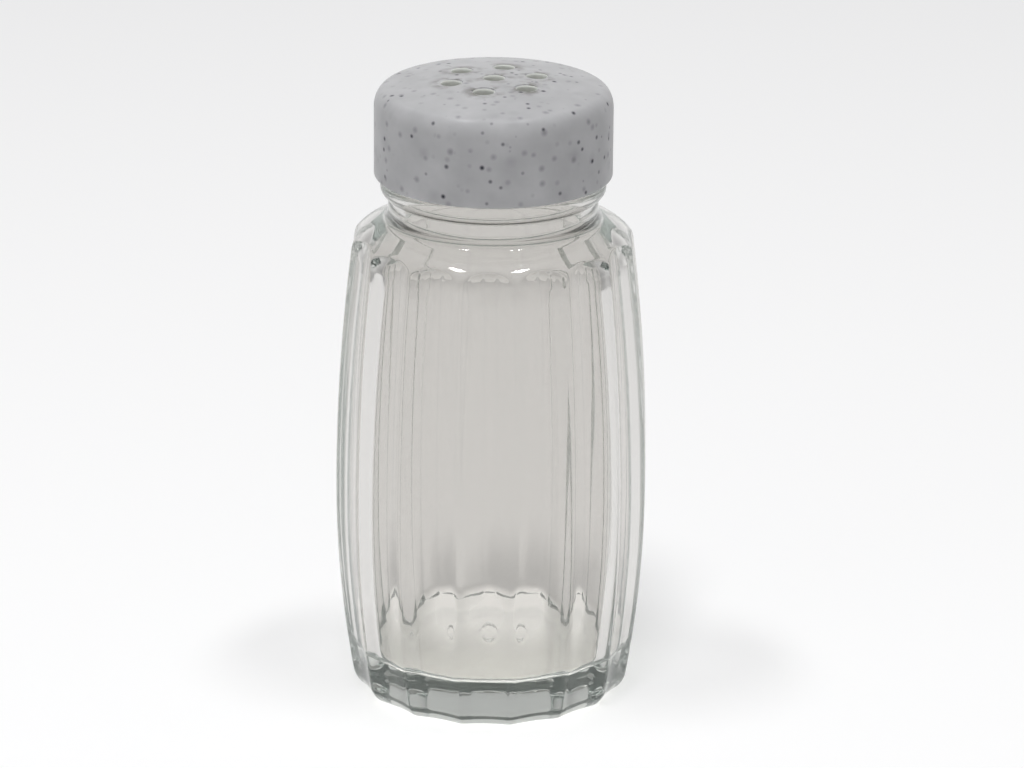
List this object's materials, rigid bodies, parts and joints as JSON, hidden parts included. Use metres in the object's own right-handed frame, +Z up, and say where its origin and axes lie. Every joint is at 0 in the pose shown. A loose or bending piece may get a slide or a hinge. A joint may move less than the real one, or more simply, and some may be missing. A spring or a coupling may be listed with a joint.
{
  "type": "spice jar",
  "caption": "Fluted clear glass barrel jar on a thick base, with a speckled plastic screw cap whose domed top has shaker holes, and a sealing ring on the lip.",
  "frame": {"origin": "centre of the flat base, on the surface that the jar stands on", "axes": "+Z up along the jar's axis, towards the cap; -Y towards the side seen in the picture"},
  "size_m": [0.051, 0.051, 0.1048],
  "materials": {
    "clear_glass": "gloss",
    "white_rubber": "matte",
    "speckled_plastic": "satin"
  },
  "bodies": {
    "jar": {"jar": "clear_glass"},
    "seal": {"seal": "white_rubber"},
    "cap": {"cap": "speckled_plastic"}
  },
  "joints": [
    {"name": "seal_lift", "type": "slide", "parent": "jar", "child": "seal", "axis": [0, 0, 1], "range_m": [0, 0.0126]},
    {"name": "cap_turn", "type": "hinge", "parent": "seal", "child": "cap", "pos_m": [0, 0, 0.1017], "axis": [0, 0, 1], "range_deg": [0, 1080]}
  ],
  "couplings": [
    {"joint": "cap_turn", "follows": "seal_lift", "rad_per_m": 1496}
  ]
}
